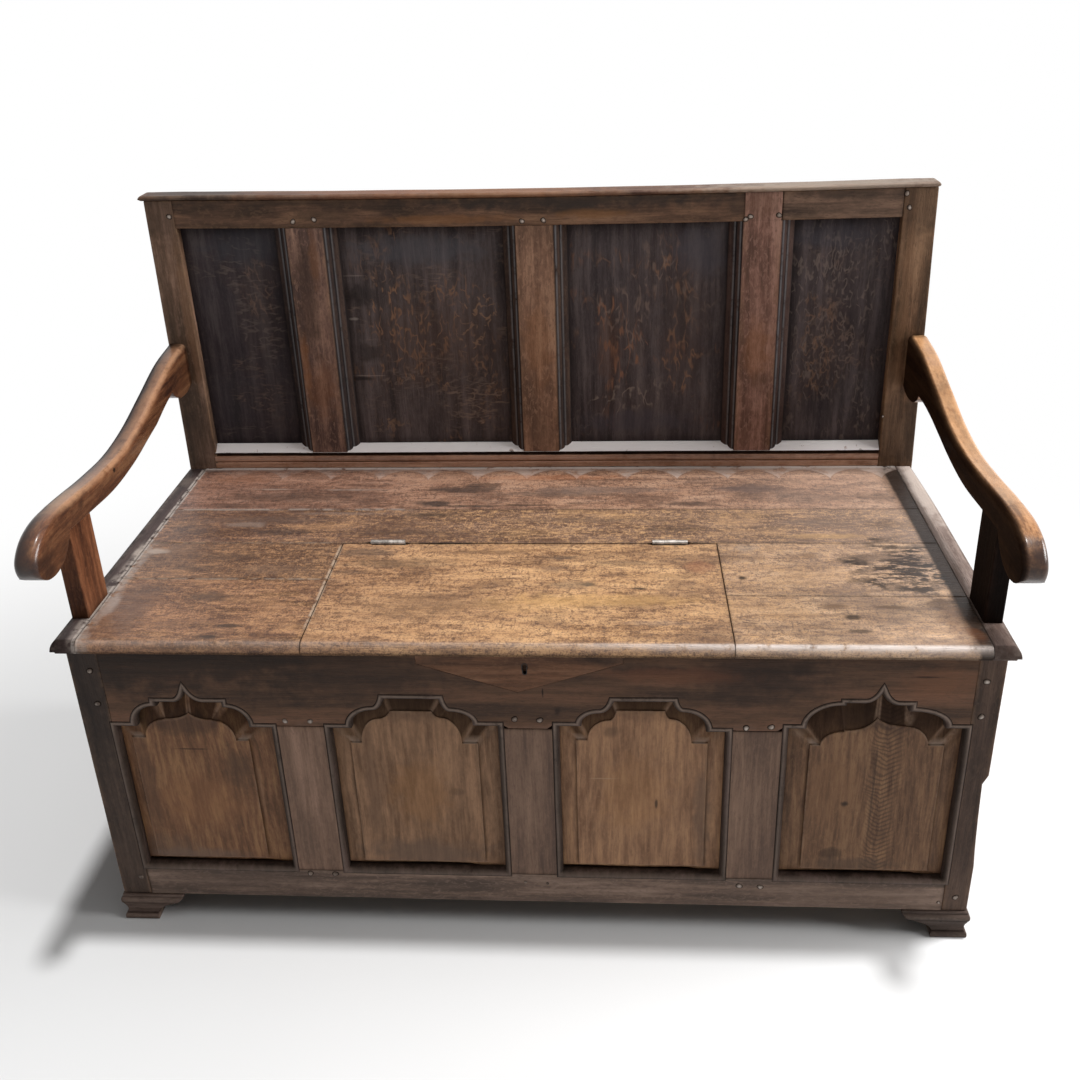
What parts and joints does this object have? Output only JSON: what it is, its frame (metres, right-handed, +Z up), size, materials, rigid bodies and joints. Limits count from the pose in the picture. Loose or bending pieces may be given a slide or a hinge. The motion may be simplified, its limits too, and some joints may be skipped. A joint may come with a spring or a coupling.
{
  "type": "box settle bench",
  "caption": "Oak box settle with a panelled back, open shaped arms, a lift-up seat lid with a lock, and a chest front of arched raised panels.",
  "frame": {"origin": "centre of the bottom face of the overall box, on the floor", "axes": "+X to the right as seen from the front, +Y from the front towards the back, +Z up"},
  "size_m": [1.212, 0.5715, 0.965],
  "materials": {
    "oak_frame": "satin",
    "oak_back": "satin",
    "oak_panel": "satin",
    "oak_dark_panel": "satin",
    "oak_seat": "satin",
    "oak_arm": "gloss",
    "oak_inside": "matte",
    "iron": "matte"
  },
  "bodies": {
    "base": {"front_left_stile": "oak_frame", "front_right_stile": "oak_frame", "front_top_rail": "oak_frame", "front_bottom_rail": "oak_frame", "lock_patch": "oak_frame", "front_left_muntin": "oak_frame", "front_middle_muntin": "oak_frame", "front_right_muntin": "oak_frame", "front_panel_1": "oak_panel", "front_panel_2": "oak_panel", "front_panel_3": "oak_panel", "front_panel_4": "oak_panel", "rear_left_post": "oak_back", "left_side_top_rail": "oak_frame", "left_side_bottom_rail": "oak_frame", "left_side_panel": "oak_panel", "front_left_foot": "oak_frame", "seat_left_edge_strip": "oak_seat", "seat_left_bearer": "oak_inside", "left_arm": "oak_arm", "left_arm_support": "oak_arm", "rear_right_post": "oak_back", "right_side_top_rail": "oak_frame", "right_side_bottom_rail": "oak_frame", "right_side_panel": "oak_panel", "front_right_foot": "oak_frame", "seat_right_edge_strip": "oak_seat", "seat_right_bearer": "oak_inside", "right_arm": "oak_arm", "right_arm_support": "oak_arm", "base_back_top_rail": "oak_inside", "base_back_bottom_rail": "oak_inside", "base_back_panel": "oak_inside", "floor_front_board": "oak_inside", "floor_rear_board": "oak_inside", "seat_rear_board": "oak_seat", "seat_middle_board": "oak_seat", "seat_left_front_board": "oak_seat", "seat_left_rear_board": "oak_seat", "seat_right_front_board": "oak_seat", "seat_right_rear_board": "oak_seat", "left_hinge_seat_leaf": "iron", "right_hinge_seat_leaf": "iron", "lock_case": "iron", "back_bottom_rail": "oak_back", "back_left_muntin": "oak_back", "back_middle_muntin": "oak_back", "back_right_muntin": "oak_back", "back_top_rail_long": "oak_back", "back_top_rail_short": "oak_back", "back_panel_1": "oak_dark_panel", "back_panel_2": "oak_dark_panel", "back_panel_3": "oak_dark_panel", "back_panel_4": "oak_dark_panel", "back_cap": "oak_back"},
    "lid": {"lid": "oak_seat", "left_hinge_lid_leaf": "iron", "right_hinge_lid_leaf": "iron", "lid_staple": "iron"},
    "bolt": {"lock_bolt": "iron"}
  },
  "joints": [
    {"name": "lid_hinge", "type": "hinge", "parent": "base", "child": "lid", "pos_m": [-0.009, 0.00525, 0.5006], "axis": [-1, 0, 0], "range_deg": [0, 172]},
    {"name": "lock_bolt_slide", "type": "slide", "parent": "base", "child": "bolt", "axis": [1, 0, 0], "range_m": [0, 0.01]}
  ]
}
